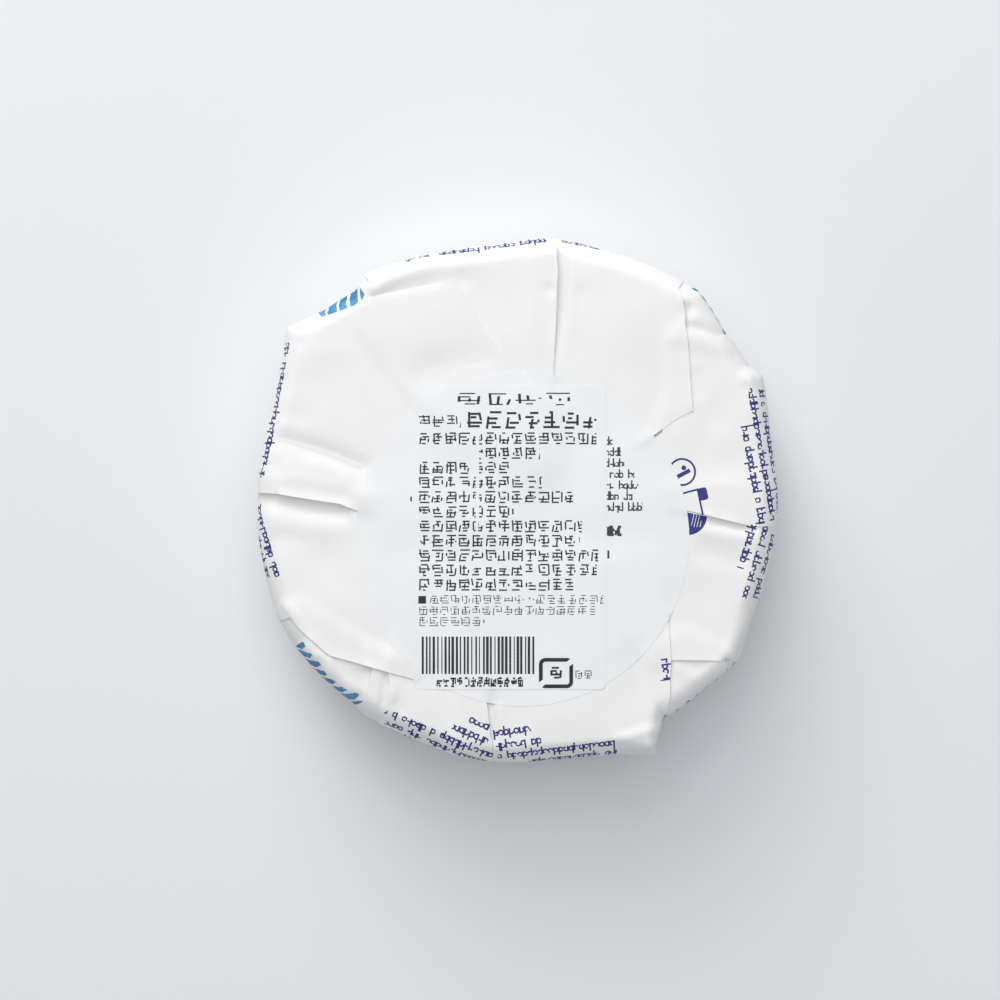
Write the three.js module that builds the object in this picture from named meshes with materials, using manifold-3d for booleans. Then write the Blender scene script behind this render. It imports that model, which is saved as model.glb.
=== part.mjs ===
// A soft-ripened cheese wheel of 250 g in its folded paper wrapper. It lies on its front face, with the
// folded back up: a round sticker holds the flaps there, and a rectangular label is stuck over it.
// Millimetres, +Z up. The origin is on the wheel's axis, on the surface that the front face rests on.

import * as THREE from "three";
import { mergeVertices } from "three/addons/utils/BufferGeometryUtils.js";
import Module from "manifold-3d";

const wasm = await Module();
wasm.setup();

// The cheese: 232 cubic centimetres, which is 250 g at 1.08 g per cubic centimetre.
const CHEESE_RADIUS = 54.1;
const CHEESE_HEIGHT = 25.8;
const CHEESE_EDGE_RADIUS = 6;

// The wrapper: one sheet of paper, with the air that its folds hold in each layer's thickness.
const PAPER = 0.4;
const CLEARANCE = 0.3; // between separate pieces
const RIM_RADIUS = 5; // where the sheet turns from the side onto the back
const FOOT_RADIUS = 6.4; // where it turns from the front onto the side
const OPENING_RADIUS = 5; // what the folded ends leave free in the middle of the back, under the sticker
const PLEATS_START_Z = 4; // below this height the sheet lies round the cheese with no surplus
const FLAP_RISE = 0.3; // how far the lowest flap stands above the sheet
const FLAP_STEP = 0.15; // how far each flap stands above the one that it overlaps
const FLAP_INSET = RIM_RADIUS + 0.2; // from the outline to where the flaps lie flat on the back
const FLAP_ROOT = 1; // how deep a flap is rooted in the sheet
const OUTSIDE = 70; // past every outline, for the outer corners of the flaps

// The stickers
const STICKER_RADIUS = 34.7;
const STICKER_CENTRE = [1, -8.1];
const STICKER_THICKNESS = 0.25;
const LABEL_SIZE = [40, 63];
const LABEL_CENTRE = [-1.6, -7.8];
const LABEL_CORNER_RADIUS = 1.3;

const ROUND_SEGMENTS = 96;
const OPENING_SEGMENTS = 48;
const CORNER_SEGMENTS = 6;
const OUTLINE_STEPS = 120;
const ARC_STEPS = 4;

const WRAPPED_RADIUS = CHEESE_RADIUS + CLEARANCE + PAPER;
const CHEESE_FLOOR = PAPER + CLEARANCE;
const BACK_Z = CHEESE_FLOOR + CHEESE_HEIGHT + CLEARANCE + PAPER;

// The outline of the wrapped rim: [degrees, radius], anticlockwise from +X. The folded edges run straight,
// so they stand out from the round cheese as corners where the flaps end.
const RIM_OUTLINE = [
  [0, WRAPPED_RADIUS],
  [12, WRAPPED_RADIUS],
  [27, 57.9],
  [31, 56.2],
  [40, 56.1],
  [49, 58.1],
  [54, 57.4],
  [66, 55.9],
  [78, 55.3],
  [93, WRAPPED_RADIUS],
  [107, WRAPPED_RADIUS],
  [116, 55.6],
  [124, 57.1],
  [128, 55.8],
  [135, 57],
  [143, 60.5],
  [147, 58.3],
  [160, WRAPPED_RADIUS],
  [200, WRAPPED_RADIUS],
  [209, 55.7],
  [225, 55.1],
  [236, 55.2],
  [246, WRAPPED_RADIUS],
  [282, WRAPPED_RADIUS],
  [291, 56.8],
  [298, 60.8],
  [304, 55.1],
  [315, 55.5],
  [324, 57.2],
  [333, 55.1],
  [345, WRAPPED_RADIUS],
  [360, WRAPPED_RADIUS],
];

// The flaps folded onto the back, from the lowest to the highest. Each outline runs along its free edges and
// past the rim, where it is cut to the rim's outline.
const FLAPS = [
  {
    name: "right",
    level: 0,
    corners: [[6, -33.1], [OUTSIDE, -33.1], [OUTSIDE, 38], [43, 35], [35, 36.5], [8, 30]],
  },
  {
    name: "upper_right",
    level: 1,
    corners: [
      [7, 8], [14, 6.5], [28.2, 13.5], [36.5, 18.2], [35.4, 33], [33.9, 45], [37, OUTSIDE], [9.6, OUTSIDE],
      [9.2, 46], [8.2, 26],
    ],
  },
  {
    name: "lower_right",
    level: 1,
    corners: [
      [-3, -14], [-6, -42], [-5, -OUTSIDE], [26, -OUTSIDE], [30.4, -44.4], [31.8, -34], [31.6, -24],
      [20, -8],
    ],
  },
  {
    name: "upper_left",
    level: 2,
    corners: [[-2, 14], [7.6, 20], [8.6, 46], [8.3, OUTSIDE], [-47, OUTSIDE], [-31.4, 46.4], [-36, 22]],
  },
  {
    name: "lower_left",
    level: 2,
    corners: [[-6.7, -14], [-24, -24], [-24.5, -40], [-35, -OUTSIDE], [-6, -OUTSIDE], [-6.8, -42]],
  },
  {
    name: "left_below_pleat",
    level: 3,
    corners: [
      [-4, -6], [-21.2, -37.6], [-26.4, -36.4], [-40.9, -31.3], [-49.2, -23.2], [-OUTSIDE, -34],
      [-OUTSIDE, -2.4], [-33, -4.4],
    ],
  },
  {
    name: "left_above_pleat",
    level: 4,
    corners: [
      [-4, -2], [-33.9, -2.6], [-52, 1.4], [-OUTSIDE, 3], [-OUTSIDE, 36.5], [-45.2, 35.9], [-32.2, 41.5],
      [-13.6, 45.7], [-8.9, 38.8], [-1.2, 27.6],
    ],
  },
];

const degrees = (angle) => (angle * Math.PI) / 180;

// The rim's radius at an angle in degrees, straight between the points of its outline.
function rimRadius(angle) {
  const next = RIM_OUTLINE.findIndex(([knot]) => knot > angle % 360);
  const [[a, ra], [b, rb]] = [RIM_OUTLINE[next - 1], RIM_OUTLINE[next]];
  return ra + ((rb - ra) * ((angle % 360) - a)) / (b - a);
}

// The wrapper's radius at a height: round at the front, and the rim's outline where it turns onto the back.
function wrapperRadius(angle, z) {
  const share = THREE.MathUtils.smoothstep(z, PLEATS_START_Z, BACK_Z - RIM_RADIUS);
  return WRAPPED_RADIUS + (rimRadius(angle) - WRAPPED_RADIUS) * share;
}

// A quarter of a circle as [outwards, upwards] steps, from one angle in degrees to another.
function arc(radius, from, to) {
  return Array.from({ length: ARC_STEPS + 1 }, (_, i) => {
    const angle = degrees(from + ((to - from) * i) / ARC_STEPS);
    return [radius * Math.cos(angle), radius * Math.sin(angle)];
  });
}

// The profile of a wheel with rounded edges, from the middle of its front to the middle of its back.
function wheelProfile(radius, height, edge) {
  return [
    [0, 0],
    ...arc(edge, -90, 0).map(([out, up]) => [radius - edge + out, edge + up]),
    ...arc(edge, 0, 90).map(([out, up]) => [radius - edge + out, height - edge + up]),
    [0, height],
  ];
}

function solid(geometry) {
  const plain = geometry.index ? geometry.toNonIndexed() : geometry.clone();
  plain.deleteAttribute("normal");
  plain.deleteAttribute("uv");
  const merged = mergeVertices(plain, 1e-4);
  return new wasm.Manifold(
    new wasm.Mesh({
      numProp: 3,
      vertProperties: new Float32Array(merged.attributes.position.array),
      triVerts: new Uint32Array(merged.index.array),
    }),
  );
}

function geometryOf(manifold) {
  const { vertProperties, triVerts } = manifold.getMesh();
  const geometry = new THREE.BufferGeometry();
  geometry.setAttribute("position", new THREE.BufferAttribute(new Float32Array(vertProperties), 3));
  geometry.setIndex(new THREE.BufferAttribute(new Uint32Array(triVerts), 1));
  geometry.computeVertexNormals();
  return geometry;
}

function prism(points, bottom, top) {
  const shape = new THREE.Shape(points.map(([x, y]) => new THREE.Vector2(x, y)));
  const settings = { depth: top - bottom, bevelEnabled: false };
  return new THREE.ExtrudeGeometry(shape, settings).translate(0, 0, bottom);
}

function outline(inset) {
  return Array.from({ length: OUTLINE_STEPS }, (_, i) => {
    const angle = (360 * i) / OUTLINE_STEPS;
    const r = rimRadius(angle) - inset;
    return [r * Math.cos(degrees(angle)), r * Math.sin(degrees(angle))];
  });
}

function cheese() {
  const profile = wheelProfile(CHEESE_RADIUS, CHEESE_HEIGHT, CHEESE_EDGE_RADIUS);
  const points = profile.map(([r, z]) => new THREE.Vector2(r, z));
  // A lathe turns about +Y, so the wheel is laid on its face.
  return new THREE.LatheGeometry(points, ROUND_SEGMENTS).rotateX(Math.PI / 2);
}

// The sheet round the cheese: rings of points down the outside and up the inside, closed at the front's
// middle and round the opening in the back.
function sheet() {
  const outside = [
    () => [OPENING_RADIUS, BACK_Z],
    () => [STICKER_RADIUS, BACK_Z],
    ...arc(RIM_RADIUS, 90, 0).map(([out, up]) => (angle) => {
      const z = BACK_Z - RIM_RADIUS + up;
      return [wrapperRadius(angle, BACK_Z) - RIM_RADIUS + out, z];
    }),
    ...[0.66, 0.33].map((share) => (angle) => {
      const z = THREE.MathUtils.lerp(FOOT_RADIUS, BACK_Z - RIM_RADIUS, share);
      return [wrapperRadius(angle, z), z];
    }),
    ...arc(FOOT_RADIUS, 0, -90).map(([out, up]) => (angle) => {
      const z = FOOT_RADIUS + up;
      return [wrapperRadius(angle, z) - FOOT_RADIUS + out, z];
    }),
  ];
  const insideRadius = CHEESE_RADIUS + CLEARANCE;
  const insideProfile = wheelProfile(insideRadius, BACK_Z - 2 * PAPER, CHEESE_EDGE_RADIUS);
  const inside = [
    ...insideProfile.slice(1, -1).map(([r, z]) => () => [r, z + PAPER]),
    () => [OPENING_RADIUS, BACK_Z - PAPER],
  ];
  const rings = [...outside, ...inside];

  const points = [];
  for (const ring of rings) {
    for (let i = 0; i < OUTLINE_STEPS; i++) {
      const angle = (360 * i) / OUTLINE_STEPS;
      const [r, z] = ring(angle);
      points.push(r * Math.cos(degrees(angle)), r * Math.sin(degrees(angle)), z);
    }
  }
  const frontMiddle = points.length / 3;
  points.push(0, 0, 0);
  const insideMiddle = frontMiddle + 1;
  points.push(0, 0, PAPER);

  const faces = [];
  const at = (ring, i) => ring * OUTLINE_STEPS + (i % OUTLINE_STEPS);
  const lastOutside = outside.length - 1;
  for (let ring = 0; ring < rings.length; ring++) {
    const next = (ring + 1) % rings.length;
    for (let i = 0; i < OUTLINE_STEPS; i++) {
      if (ring === lastOutside) {
        faces.push(at(ring, i), frontMiddle, at(ring, i + 1));
        faces.push(insideMiddle, at(next, i), at(next, i + 1));
        continue;
      }
      faces.push(at(ring, i), at(next, i), at(next, i + 1));
      faces.push(at(ring, i), at(next, i + 1), at(ring, i + 1));
    }
  }
  const geometry = new THREE.BufferGeometry();
  geometry.setAttribute("position", new THREE.Float32BufferAttribute(points, 3));
  geometry.setIndex(faces);
  return solid(geometry);
}

function flap({ level, corners }, rim, opening) {
  const top = BACK_Z + FLAP_RISE + FLAP_STEP * level;
  return solid(prism(corners, BACK_Z - FLAP_ROOT, top)).intersect(rim).subtract(opening);
}

// The room inside the wrapper, with the clearance all round the cheese.
function cheeseRoom() {
  const profile = wheelProfile(CHEESE_RADIUS + CLEARANCE, BACK_Z - 2 * PAPER, CHEESE_EDGE_RADIUS);
  const points = profile.map(([r, z]) => new THREE.Vector2(r, z));
  return solid(new THREE.LatheGeometry(points, OUTLINE_STEPS).rotateX(Math.PI / 2).translate(0, 0, PAPER));
}

function wrapper() {
  const rim = solid(prism(outline(FLAP_INSET), 0, BACK_Z * 2));
  const hole = new THREE.CylinderGeometry(OPENING_RADIUS, OPENING_RADIUS, BACK_Z * 4, OPENING_SEGMENTS);
  const opening = solid(hole.rotateX(Math.PI / 2));
  const room = cheeseRoom();
  const flaps = FLAPS.map((one) => flap(one, rim, opening).subtract(room));
  return geometryOf(flaps.reduce((all, one) => all.add(one), sheet()));
}

const STICKER_Z = BACK_Z + FLAP_RISE + FLAP_STEP * Math.max(...FLAPS.map(({ level }) => level)) + CLEARANCE;
const LABEL_Z = STICKER_Z + STICKER_THICKNESS + CLEARANCE;

function sticker() {
  return new THREE.CylinderGeometry(STICKER_RADIUS, STICKER_RADIUS, STICKER_THICKNESS, ROUND_SEGMENTS)
    .rotateX(Math.PI / 2)
    .translate(0, 0, STICKER_THICKNESS / 2);
}

function label() {
  const [width, length] = LABEL_SIZE;
  const [x, y, r] = [width / 2, length / 2, LABEL_CORNER_RADIUS];
  const shape = new THREE.Shape()
    .moveTo(-x + r, -y)
    .lineTo(x - r, -y)
    .absarc(x - r, -y + r, r, -Math.PI / 2, 0)
    .lineTo(x, y - r)
    .absarc(x - r, y - r, r, 0, Math.PI / 2)
    .lineTo(-x + r, y)
    .absarc(-x + r, y - r, r, Math.PI / 2, Math.PI)
    .lineTo(-x, -y + r)
    .absarc(-x + r, -y + r, r, Math.PI, Math.PI * 1.5);
  const settings = { depth: STICKER_THICKNESS, bevelEnabled: false, curveSegments: CORNER_SEGMENTS };
  return new THREE.ExtrudeGeometry(shape, settings);
}

function piece(name, geometry, color, roughness, [x, y, z]) {
  const mesh = new THREE.Mesh(geometry, new THREE.MeshStandardMaterial({ color, roughness, metalness: 0 }));
  mesh.name = name;
  mesh.position.set(x, y, z);
  return mesh;
}

const wrappedWheel = new THREE.Group();
wrappedWheel.add(
  piece("cheese_wheel", cheese(), 0xf1ead8, 0.85, [0, 0, CHEESE_FLOOR]),
  piece("paper_wrapper", wrapper(), 0xf0f0ee, 0.6, [0, 0, 0]),
  piece("round_sticker", sticker(), 0xeef0f3, 0.4, [...STICKER_CENTRE, STICKER_Z]),
  piece("rectangular_label", label(), 0xf0f1f4, 0.5, [...LABEL_CENTRE, LABEL_Z]),
);

export default wrappedWheel;
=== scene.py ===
"""A soft-ripened cheese wheel in its folded paper wrapper, seen from straight above.

The wrapper is one thin mesh: a skin round the cheese and the flaps that are folded onto its back. Flaps are
drawn on the unrolled sheet, in millimetres: a point's distance from the middle is its way over the back,
round the rim and down the side. Each flap lies on the ones below it, and its pleats, dents and creases are
moves of its own surface."""

import math

import bpy
import numpy as np
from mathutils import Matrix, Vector
from mathutils.geometry import delaunay_2d_cdt


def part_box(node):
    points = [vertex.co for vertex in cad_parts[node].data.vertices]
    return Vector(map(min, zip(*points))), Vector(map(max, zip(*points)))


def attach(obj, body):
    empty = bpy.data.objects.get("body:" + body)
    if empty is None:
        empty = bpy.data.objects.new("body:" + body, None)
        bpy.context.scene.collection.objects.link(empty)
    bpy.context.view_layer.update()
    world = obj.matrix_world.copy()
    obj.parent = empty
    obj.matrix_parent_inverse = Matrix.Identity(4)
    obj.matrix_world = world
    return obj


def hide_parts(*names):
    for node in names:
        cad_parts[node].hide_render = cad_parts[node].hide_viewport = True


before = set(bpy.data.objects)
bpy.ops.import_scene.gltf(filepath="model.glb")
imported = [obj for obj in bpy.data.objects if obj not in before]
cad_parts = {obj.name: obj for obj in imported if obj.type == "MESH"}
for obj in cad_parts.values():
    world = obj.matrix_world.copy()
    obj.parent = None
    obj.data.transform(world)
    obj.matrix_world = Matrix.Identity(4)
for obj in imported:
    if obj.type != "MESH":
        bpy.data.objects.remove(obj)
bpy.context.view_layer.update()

MM = 0.001

# -------- sizes, in millimetres

(cheese_low, cheese_high), (sticker_low, sticker_high), (label_low, label_high) = (
    np.array(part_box(node)) / MM for node in ("cheese_wheel", "round_sticker", "rectangular_label")
)

CHEESE_RADIUS = cheese_high[0]
SKIN_TOP = cheese_high[2] + 0.6
SKIN_THICKNESS = 0.3
PAPER = 0.12
ROUND_RADIUS = CHEESE_RADIUS + 0.5

RIM_WIDTH = 3.7  # how far in from the side the paper begins to bend
RIM_DROP = 4.6  # how far down it has come when the side begins
RIM_LENGTH = 6.4  # the paper over the bend
RIM_POWER = 1.3  # the shape of the bend: 1 is an ellipse, 2 a straight bevel
RIM_INSET = 0.5  # how far inside its outline the rim turns down
FOOT = 6.4
FOOT_CORNERS = 0.12  # the share of the rim's corners that is left at the foot
SIDE_LENGTH = SKIN_TOP - RIM_DROP - FOOT
FOOT_LENGTH = FOOT * math.pi / 2
FLAP_END = 81.0  # from the sheet's middle to where the flaps end at the foot

FIRST_RISE = 0.5  # from the skin to the lowest flap
STEP = 0.28  # from a flap to the next one
BRIDGE = 3.2  # the width that a flap needs to come down off an edge below it
INTO_VALLEYS = 0.3  # how far a flap follows the valleys of the ones below it

# The outline of the wrapped rim, seen from above: (degrees from +X, radius).
RIM_OUTLINE = (
    (-17, 54.6), (-5, 54.6), (10, 54.7), (17, 55.3), (23, 56.8), (27, 57.9), (30, 56.3), (39, 56.1),
    (49, 58.2), (53, 57.5), (64, 56.2), (71.5, 55.5), (81, 55.5), (95.6, 53.8), (107, 54.4), (116, 55.6),
    (124, 57.2), (127.6, 55.8), (135, 56.9), (140, 58.9), (143, 60.6), (147, 58.4), (153, 56.2),
    (160, 54.9), (177, 54.4), (185, 54.8), (194, 55), (201.5, 55.4), (208, 55.9), (216, 55.6),
    (225, 55.1), (231, 54.8), (235, 55.2), (240, 54.9), (249, 54.7), (258, 55.1), (265, 55.1), (277, 55),
    (285, 55.8), (292, 57.4), (298.3, 60.9), (301, 57.6), (304, 55), (315, 55.5), (324, 57.3),
    (333, 55.2), (343, 54.6),
)


def smooth(low, high, value):
    share = np.clip((np.asarray(value, float) - low) / (high - low), 0, 1)
    return share * share * (3 - 2 * share)


def rim_radius(angle):
    degrees, radii = np.array(RIM_OUTLINE).T
    return np.interp(np.degrees(angle), degrees, radii, period=360)


LARGE_PRIMES = (374761393, 668265263, 974634777)
MIXER = 1274126177
LOW_32_BITS = 0xFFFFFFFF
LOW_16_BITS = 0xFFFF


def lattice(column, row, seed):
    """A repeatable random number from 0 to 1 for each cell of a lattice."""
    mixed = sum(value * prime for value, prime in zip((column, row, seed), LARGE_PRIMES)) & LOW_32_BITS
    mixed = ((mixed ^ (mixed >> 13)) * MIXER) & LOW_32_BITS
    return ((mixed ^ (mixed >> 16)) & LOW_16_BITS) / LOW_16_BITS


def noise(x, y, size, seed):
    """Smooth noise from -1 to 1, with bumps of about that size in millimetres."""
    x, y = np.asarray(x) / size, np.asarray(y) / size
    column, row = np.floor(x).astype(np.int64), np.floor(y).astype(np.int64)
    across, up = smooth(0, 1, x - column), smooth(0, 1, y - row)
    low = lattice(column, row, seed) * (1 - across) + lattice(column + 1, row, seed) * across
    high = lattice(column, row + 1, seed) * (1 - across) + lattice(column + 1, row + 1, seed) * across
    return (low * (1 - up) + high * up) * 2 - 1


def polar(degrees, distance):
    return (distance * math.cos(math.radians(degrees)), distance * math.sin(math.radians(degrees)))


# -------- the unrolled sheet


def beyond_rim(x, y):
    """How far a point of the unrolled sheet lies past the place where the rim begins."""
    return np.hypot(x, y) - (rim_radius(np.arctan2(y, x)) - RIM_WIDTH)


def place(x, y, lift):
    """Points of the unrolled sheet, wrapped round the cheese and moved out by lift."""
    angle, distance = np.arctan2(y, x), np.hypot(x, y)
    rim = rim_radius(angle) - RIM_INSET
    past = distance - (rim - RIM_WIDTH)
    turn = np.clip(past / RIM_LENGTH, 0, 1) * math.pi / 2
    sine, cosine = np.sin(turn), np.cos(turn)
    radius = rim - RIM_WIDTH + np.where(past < 0, past, RIM_WIDTH * sine**RIM_POWER)
    height = SKIN_TOP - RIM_DROP + RIM_DROP * cosine**RIM_POWER
    out = RIM_DROP * cosine ** (RIM_POWER - 1) * sine
    up = RIM_WIDTH * np.where(past <= 0, 1, sine ** (RIM_POWER - 1)) * cosine

    down = np.clip(past - RIM_LENGTH, 0, SIDE_LENGTH)
    drawn_in = smooth(0, SIDE_LENGTH + 2, down)
    foot_radius = ROUND_RADIUS + (rim - ROUND_RADIUS) * FOOT_CORNERS
    radius = radius + (foot_radius - rim) * drawn_in
    height = height - down

    under = np.clip((past - RIM_LENGTH - SIDE_LENGTH) / FOOT_LENGTH, 0, 1) * math.pi / 2
    radius = radius - FOOT * (1 - np.cos(under))
    height = height - FOOT * np.sin(under)
    on_foot = under > 0
    out = np.where(on_foot, np.cos(under), out)
    up = np.where(on_foot, -np.sin(under), up)
    inwards = np.clip(past - RIM_LENGTH - SIDE_LENGTH - FOOT_LENGTH, 0, None)
    radius = radius - inwards

    whole = np.maximum(np.hypot(out, up), 1e-9)
    out, up = out / whole, up / whole
    radius = radius + out * lift
    return np.stack([radius * np.cos(angle), radius * np.sin(angle), height + up * lift], axis=1) * MM


def edge_distance(points, outline):
    """The distance of each point from an outline, positive inside it."""
    outline = np.asarray(outline, float)
    starts, ends = outline, np.roll(outline, -1, axis=0)
    nearest = np.full(len(points), 1e9)
    inside = np.zeros(len(points), bool)
    px, py = points[:, 0], points[:, 1]
    for (x0, y0), (x1, y1) in zip(starts, ends):
        dx, dy = x1 - x0, y1 - y0
        share = np.clip(((px - x0) * dx + (py - y0) * dy) / max(dx * dx + dy * dy, 1e-12), 0, 1)
        nearest = np.minimum(nearest, np.hypot(px - x0 - share * dx, py - y0 - share * dy))
        crosses = (y0 > py) != (y1 > py)
        if dy:
            inside ^= crosses & (px < x0 + (py - y0) * dx / dy)
    return np.where(inside, nearest, -nearest)


def line_distance(points, line):
    """The distance of each point from a line, and the share of the line's length where it is nearest."""
    line = np.asarray(line, float)
    lengths = np.hypot(*np.diff(line, axis=0).T)
    before = np.concatenate([[0], np.cumsum(lengths)])
    nearest, along = np.full(len(points), 1e9), np.zeros(len(points))
    for i, ((x0, y0), (x1, y1)) in enumerate(zip(line[:-1], line[1:])):
        dx, dy = x1 - x0, y1 - y0
        share = np.clip(((points[:, 0] - x0) * dx + (points[:, 1] - y0) * dy) / (dx * dx + dy * dy), 0, 1)
        away = np.hypot(points[:, 0] - x0 - share * dx, points[:, 1] - y0 - share * dy)
        closer = away < nearest
        nearest = np.where(closer, away, nearest)
        along = np.where(closer, (before[i] + share * lengths[i]) / before[-1], along)
    return nearest, along


# -------- moves of a flap's own surface


def run_out(along, fade):
    """1 along a line, falling to 0 over the share of its length that fade gives for each end."""
    if fade == (0.0, 0.0):
        return 1.0
    return smooth(0, fade[0], along) * smooth(0, fade[1], 1 - along)


def line_move(shape, usual_fade):
    """A kind of move that follows a line. shape is its height, from 0 to 1, over the distance in widths."""

    def kind(line, width, rise, fade=usual_fade):
        def move(points):
            away, along = line_distance(points, line)
            return rise * shape(away / width) * run_out(along, fade)

        return move

    return kind


# A soft ridge, a sharp one with straight flanks, and a free edge that stands up. All turn down where rise is
# negative.
crease = line_move(lambda away: np.exp(-(away**2)), (0.0, 0.0))
fold = line_move(lambda away: np.clip(1 - away, 0, 1), (0.15, 0.15))
curl = line_move(lambda away: np.clip(1 - away, 0, 1) ** 1.6, (0.2, 0.2))


def dent(x, y, size, rise, stretch=1.0, turn=0.0):
    """A soft dent or bump, longer by stretch along the direction turn, in degrees."""

    def move(points):
        c, s = math.cos(math.radians(turn)), math.sin(math.radians(turn))
        dx, dy = points[:, 0] - x, points[:, 1] - y
        along, across = (dx * c + dy * s) / stretch, -dx * s + dy * c
        return rise * np.exp(-(along**2 + across**2) / size**2)

    return move


def crumple(x, y, reach, rise, size=2.2, seed=5):
    """Small sharp creases round a point."""

    def move(points):
        near = np.exp(-((points[:, 0] - x) ** 2 + (points[:, 1] - y) ** 2) / reach**2)
        sharp = 1 - 2 * np.abs(noise(points[:, 0], points[:, 1], size, seed))
        return rise * near * sharp

    return move


# -------- the flaps, from the lowest to the highest

# Where the sheet itself is drawn in under the pleats.
RIDGE_E = ((-31.4, 43), (-24.7, 47.3), (-18.3, 49.6), (-9.6, 51.1))
POCKET_FOOT = ((34.4, 36.3), (38.8, 35.2), (43, 34))
POCKET_HOLLOW = (35.4, 39.6)
SLOPE_E = ((-32.2, 41.2), (-24.5, 42.9), (-15, 45), (-8, 45.2))
VALLEYS = (
    fold(SLOPE_E, 4.6, -0.45, (0.1, 0.5)),
    fold(POCKET_FOOT, 2.1, -0.5, (0.01, 0.1)),
    dent(*POCKET_HOLLOW, 1.4, -0.55, 1.3, 75),
    crease(((9.6, 53.5), (9.2, 46), (8.6, 38.4), (8, 26.1)), 1.6, -0.8, (0.05, 0.2)),
    crease(((-58, 0.2), (-50, -0.4), (-43, -1.8), (-36, -2.8), (-33.8, -3.2)), 2.4, -0.8, (0.05, 0.2)),
    crease(((37, -3.8), (44, -5.4), (51, -7.1)), 1.2, -0.35, (0.1, 0.3)),
    crease(((-5.4, -40.6), (-4.8, -46.6), (-4, -52.4)), 1.1, -0.35, (0.1, 0.3)),
)

# Edges that the flaps' outlines and the moves share.
PLEAT_TOP = ((8.25, 50.2), (8.45, 47.3), (8.25, 44.6), (8.1, 38.4), (7.8, 32.1), (7.5, 26.1))
PLEAT_LEFT = ((-49.8, 1.3), (-47.1, 0.8), (-40.9, -0.2), (-36.7, -0.8), (-33.8, -2.1))
PLEAT_RIGHT = ((38.5, -2.9), (39.8, -3.3), (48, -5.3))
PLEAT_BOTTOM = ((-6.3, -42.1), (-5.9, -45.6), (-5.6, -48.7), (-5.2, -50.4))
RIGHT_EDGE_A = ((33.7, 44.2), (34.8, 39), (34.8, 36.5), (35.4, 32.8), (35.8, 26.9), (36.4, 18.5))
FOOT_EDGE_A = ((36.4, 18.5), (33.7, 17.2), (28.4, 13.5))
EDGE_H = ((-47, -24.3), (-45, -26.9), (-41.9, -29.6), (-40.1, -31.3), (-38.8, -32.3), (-34.7, -33.4),
          (-30.5, -34.6), (-26.8, -35.7), (-21.6, -37.1))
TOP_EDGE_D = ((-13.5, 45.7), (-24.3, 43.5), (-32.6, 41.7), (-33.8, 40.6), (-38.8, 39), (-42.5, 37.9))
RIGHT_EDGE_D = ((-1.2, 27.6), (-5.2, 33), (-8.9, 38.8), (-11.8, 43.2))
TOP_EDGE_B = ((43, 34.2), (35, 35.7))
EDGE_K = ((29.9, -46.8), (31, -44.4), (31.7, -40.4), (31.7, -37.3), (31.9, -33.2), (31.4, -25.7))

FLAPS = []
FOOT_STEP = 2.5  # the degrees from point to point along a flap's foot


def add_flap(name, rim, foot, edge, *moves):
    """Lay a flap over the ones before it. rim and foot are the degrees where it begins and ends there,
    anticlockwise. edge goes on along its edges on the back, and moves are those of its surface."""
    start, end = foot
    steps = max(2, round((end - start) / FOOT_STEP))
    along_foot = [polar(start + (end - start) * i / steps, FLAP_END) for i in range(steps + 1)]
    before, after = (polar(degrees, rim_radius(math.radians(degrees)) + 1.0) for degrees in rim)
    FLAPS.append({"name": name, "outline": [*along_foot, after, *edge, before], "moves": moves})


add_flap(
    "pocket_top_right", (37, 53.6), (37.5, 52.5),
    ((33.2, 46), (32.4, 40), (33, 34.2), (35.5, 33.6), (43, 32.2)),
    dent(*POCKET_HOLLOW, 1.3, -0.85, 1.3, 75),
    crease(((34.4, 42.6), (37.8, 41)), 0.9, 0.3, (0.1, 0.3)),
    fold(POCKET_FOOT, 1.9, -0.65, (0.01, 0.1)),
    fold(((37.2, 43.8), (43.8, 34.9)), 1.8, 0.5),
)
add_flap(
    "pocket_bottom_left", (206, 234), (208, 232),
    ((-29, -40), (-27, -33), (-36, -28), (-45, -22)),
    fold(((-44.6, -31.6), (-39.2, -32.6)), 1.2, 0.3),
    fold(((-38.9, -32.3), (-38.6, -38)), 0.9, 0.5),
    crease(((-31.5, -34.6), (-32, -38), (-33, -42.6)), 1.9, -0.5, (0.02, 0.2)),
    dent(-35, -37, 3, -0.25),
    fold(((-45.5, -28.5), (-42, -33.2), (-38.6, -37.1), (-33, -42)), 2.6, 0.75),
)
add_flap(
    "pocket_bottom_right", (300.5, 323), (302, 321),
    ((42.5, -31.5), (34, -28), (28, -32), (28, -44)),
    fold(((32.2, -34.2), (39.5, -38.6)), 1.6, 0.22),
    dent(38.5, -35, 1.5, -0.25, 2, 5),
    fold(((44.2, -34.4), (31.2, -45.9)), 3.6, 1.15, (0.06, 0.06)),
)
add_flap(
    "flap_right_lower", (323.6, 363.5), (321.5, 361.5),
    ((44, 3), (30, 2), (18, -2), (22, -20), (28, -33.1), (31.9, -33.2), (43.3, -33.3)),
    crease(((37, -3.7), (44, -5.2), (51, -6.9)), 0.8, -0.75, (0.1, 0.35)),
    crease(((36.5, -6.2), (44, -7.4), (51, -8.5)), 1.5, 0.3, (0.1, 0.1)),
    crease(((34.5, -10.2), (42, -11.8), (50, -13.9)), 2.2, -0.3, (0.3, 0.3)),
    dent(38.5, -20.5, 4.5, -0.22, 1.4, 20),
    fold(((49.4, -21.5), (46.9, -27.6), (43.9, -33.3)), 2.3, 0.55, (0.3, 0.02)),
    curl(((31.9, -33.2), (43.3, -33.3)), 1.8, 0.1),
)
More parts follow.
